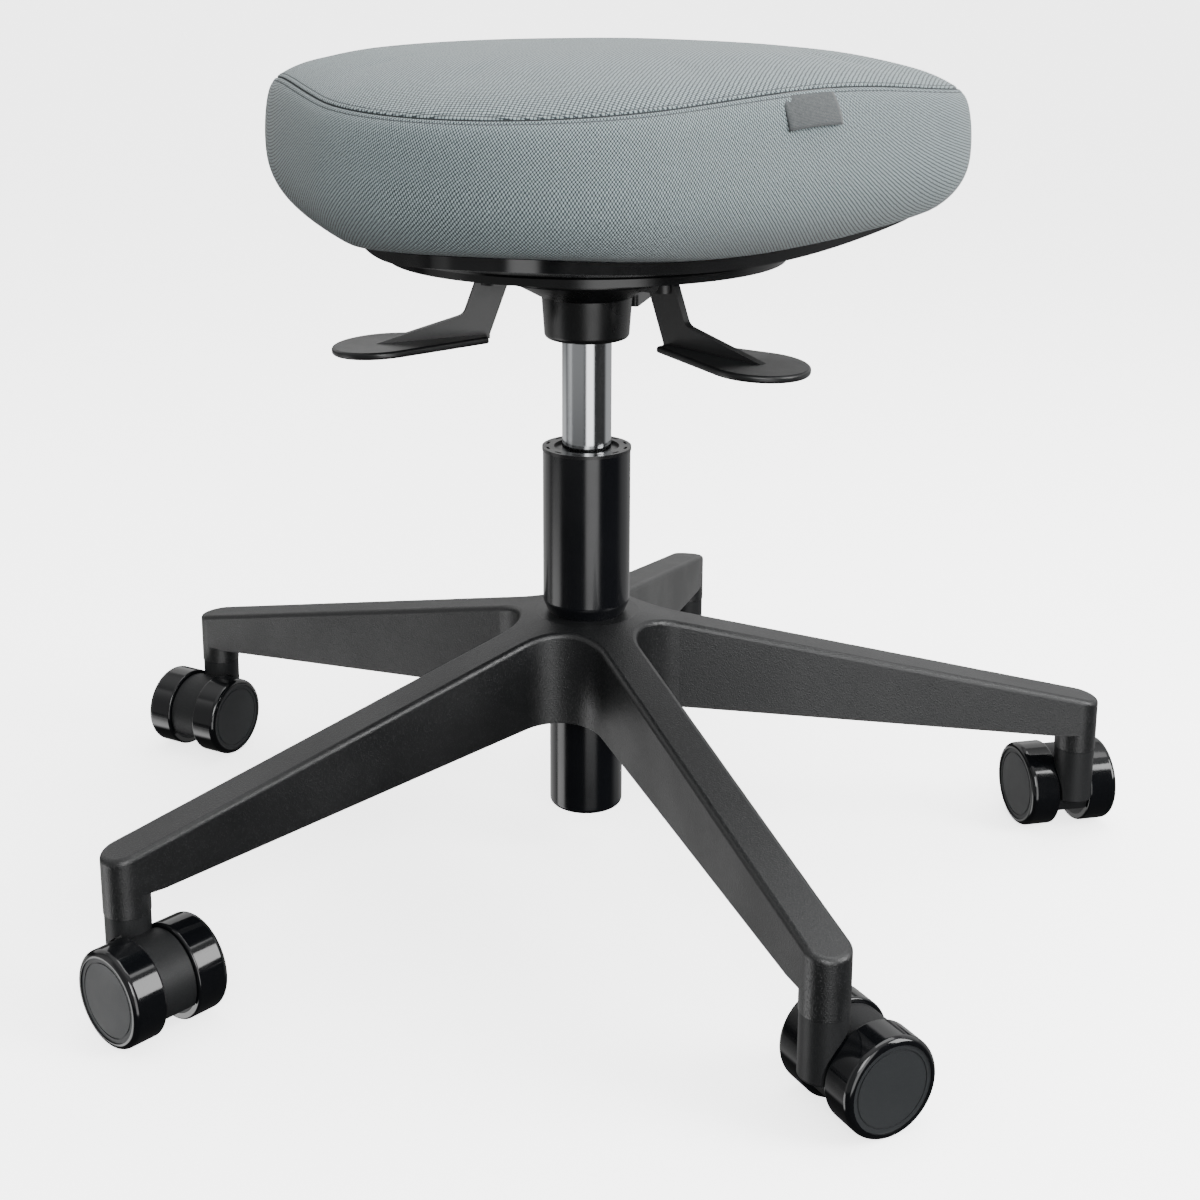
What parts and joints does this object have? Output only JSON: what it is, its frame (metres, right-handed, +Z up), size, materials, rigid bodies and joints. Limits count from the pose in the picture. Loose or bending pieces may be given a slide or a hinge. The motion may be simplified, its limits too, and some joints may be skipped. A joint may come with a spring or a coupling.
{
  "type": "rolling stool",
  "caption": "Low rolling stool: star base on twin-wheel casters, gas-lift column, tilt mechanism with two hand levers and a padded rounded-triangle fabric seat.",
  "frame": {"origin": "on the floor, under the column's axis", "axes": "+Z up along the column; -Y towards the seat's front corner; +X to the sitter's left"},
  "size_m": [0.621, 0.6013, 0.47],
  "materials": {
    "base_nylon": "fine spark texture",
    "column_paint": "gloss",
    "bush_nylon": "satin",
    "plain_steel": "satin",
    "bright_chrome": "polished",
    "stop_rubber": "matte",
    "mechanism_paint": "satin",
    "lever_nylon": "satin",
    "pan_plastic": "gloss",
    "board_wood": "raw plywood",
    "seat_fabric": "twill weave",
    "tag_fabric": "plain woven",
    "caster_plastic": "matte",
    "wheel_plastic": "matte",
    "tyre_rubber": "glossy"
  },
  "bodies": {
    "base": {"star_base": "base_nylon", "column_tube": "column_paint", "guide_bush": "bush_nylon", "thrust_bearing": "plain_steel", "grip_rings": "plain_steel"},
    "rod": {"piston_rod": "plain_steel", "thrust_washer": "plain_steel", "bump_stop": "stop_rubber", "retaining_clip": "plain_steel"},
    "lift": {"pressure_tube": "bright_chrome", "rod_guide": "bush_nylon", "valve_plug": "plain_steel", "mechanism_housing": "mechanism_paint", "lever_pins": "plain_steel", "tilt_pin": "plain_steel"},
    "release_pin": {"release_pin": "plain_steel"},
    "height_lever": {"height_lever": "lever_nylon"},
    "tilt_lever": {"tilt_lever": "lever_nylon"},
    "seat": {"tilt_bracket": "mechanism_paint", "seat_pan": "pan_plastic", "seat_board": "board_wood", "board_nuts": "plain_steel", "seat_screws": "plain_steel", "seat_cushion": "seat_fabric", "seat_tag": "tag_fabric"},
    "caster_1": {"caster_housing_1": "caster_plastic", "caster_stem_1": "plain_steel", "caster_axle_1": "plain_steel"},
    "caster_1_wheel_left": {"wheel_1_left": "wheel_plastic", "tyre_1_left": "tyre_rubber"},
    "caster_1_wheel_right": {"wheel_1_right": "wheel_plastic", "tyre_1_right": "tyre_rubber"},
    "caster_2": {"caster_housing_2": "caster_plastic", "caster_stem_2": "plain_steel", "caster_axle_2": "plain_steel"},
    "caster_2_wheel_left": {"wheel_2_left": "wheel_plastic", "tyre_2_left": "tyre_rubber"},
    "caster_2_wheel_right": {"wheel_2_right": "wheel_plastic", "tyre_2_right": "tyre_rubber"},
    "caster_3": {"caster_housing_3": "caster_plastic", "caster_stem_3": "plain_steel", "caster_axle_3": "plain_steel"},
    "caster_3_wheel_left": {"wheel_3_left": "wheel_plastic", "tyre_3_left": "tyre_rubber"},
    "caster_3_wheel_right": {"wheel_3_right": "wheel_plastic", "tyre_3_right": "tyre_rubber"},
    "caster_4": {"caster_housing_4": "caster_plastic", "caster_stem_4": "plain_steel", "caster_axle_4": "plain_steel"},
    "caster_4_wheel_left": {"wheel_4_left": "wheel_plastic", "tyre_4_left": "tyre_rubber"},
    "caster_4_wheel_right": {"wheel_4_right": "wheel_plastic", "tyre_4_right": "tyre_rubber"},
    "caster_5": {"caster_housing_5": "caster_plastic", "caster_stem_5": "plain_steel", "caster_axle_5": "plain_steel"},
    "caster_5_wheel_left": {"wheel_5_left": "wheel_plastic", "tyre_5_left": "tyre_rubber"},
    "caster_5_wheel_right": {"wheel_5_right": "wheel_plastic", "tyre_5_right": "tyre_rubber"}
  },
  "joints": [
    {"name": "seat_swivel", "type": "hinge", "parent": "base", "child": "rod", "pos_m": [0, 0, 0.0375], "axis": [0, 0, 1], "continuous": true},
    {"name": "seat_lift", "type": "slide", "parent": "rod", "child": "lift", "axis": [0, 0, 1], "range_m": [-0.05, 0.07]},
    {"name": "seat_tilt", "type": "hinge", "parent": "lift", "child": "seat", "pos_m": [0, 0.038, 0.3535], "axis": [1, 0, 0], "range_deg": [-3, 6]},
    {"name": "height_lever_pivot", "type": "hinge", "parent": "lift", "child": "height_lever", "pos_m": [-0.04796, -0.02135, 0.3435], "axis": [-0.4067, 0.9135, 0], "range_deg": [0, 3.27], "stiffness_Nm_per_rad": 0.5, "springref_deg": -6.88},
    {"name": "tilt_lever_pivot", "type": "hinge", "parent": "lift", "child": "tilt_lever", "pos_m": [0.04796, -0.02135, 0.3435], "axis": [-0.4067, -0.9135, 0], "range_deg": [0, 3.27], "stiffness_Nm_per_rad": 0.5, "springref_deg": -6.88},
    {"name": "release_press", "type": "slide", "parent": "lift", "child": "release_pin", "axis": [0, 0, -1], "range_m": [0, 0.003]},
    {"name": "caster_swivel_1", "type": "hinge", "parent": "base", "child": "caster_1", "pos_m": [0, 0.2935, 0.056], "axis": [0, 0, 1], "continuous": true},
    {"name": "wheel_spin_1_left", "type": "hinge", "parent": "caster_1", "child": "caster_1_wheel_left", "pos_m": [-0.01785, 0.287, 0.025], "axis": [0.342, -0.9397, 0], "continuous": true},
    {"name": "wheel_spin_1_right", "type": "hinge", "parent": "caster_1", "child": "caster_1_wheel_right", "pos_m": [-0.01785, 0.287, 0.025], "axis": [0.342, -0.9397, 0], "continuous": true},
    {"name": "caster_swivel_2", "type": "hinge", "parent": "base", "child": "caster_2", "pos_m": [-0.27914, 0.0907, 0.056], "axis": [0, 0, 1], "continuous": true},
    {"name": "wheel_spin_2_left", "type": "hinge", "parent": "caster_2", "child": "caster_2_wheel_left", "pos_m": [-0.28373, 0.07226, 0.025], "axis": [0.9703, -0.2419, 0], "continuous": true},
    {"name": "wheel_spin_2_right", "type": "hinge", "parent": "caster_2", "child": "caster_2_wheel_right", "pos_m": [-0.28373, 0.07226, 0.025], "axis": [0.9703, -0.2419, 0], "continuous": true},
    {"name": "caster_swivel_3", "type": "hinge", "parent": "base", "child": "caster_3", "pos_m": [-0.17252, -0.23745, 0.056], "axis": [0, 0, 1], "continuous": true},
    {"name": "wheel_spin_3_left", "type": "hinge", "parent": "caster_3", "child": "caster_3_wheel_left", "pos_m": [-0.15559, -0.24607, 0.025], "axis": [0.454, 0.891, 0], "continuous": true},
    {"name": "wheel_spin_3_right", "type": "hinge", "parent": "caster_3", "child": "caster_3_wheel_right", "pos_m": [-0.15559, -0.24607, 0.025], "axis": [0.454, 0.891, 0], "continuous": true},
    {"name": "caster_swivel_4", "type": "hinge", "parent": "base", "child": "caster_4", "pos_m": [0.17252, -0.23745, 0.056], "axis": [0, 0, 1], "continuous": true},
    {"name": "wheel_spin_4_left", "type": "hinge", "parent": "caster_4", "child": "caster_4_wheel_left", "pos_m": [0.18641, -0.22449, 0.025], "axis": [-0.682, 0.7314, 0], "continuous": true},
    {"name": "wheel_spin_4_right", "type": "hinge", "parent": "caster_4", "child": "caster_4_wheel_right", "pos_m": [0.18641, -0.22449, 0.025], "axis": [-0.682, 0.7314, 0], "continuous": true},
    {"name": "caster_swivel_5", "type": "hinge", "parent": "base", "child": "caster_5", "pos_m": [0.27914, 0.0907, 0.056], "axis": [0, 0, 1], "continuous": true},
    {"name": "wheel_spin_5_left", "type": "hinge", "parent": "caster_5", "child": "caster_5_wheel_left", "pos_m": [0.27036, 0.10755, 0.025], "axis": [-0.887, -0.4617, 0], "continuous": true},
    {"name": "wheel_spin_5_right", "type": "hinge", "parent": "caster_5", "child": "caster_5_wheel_right", "pos_m": [0.27036, 0.10755, 0.025], "axis": [-0.887, -0.4617, 0], "continuous": true}
  ],
  "couplings": [
    {"joint": "release_press", "follows": "height_lever_pivot", "m_per_rad": 0.0525}
  ]
}
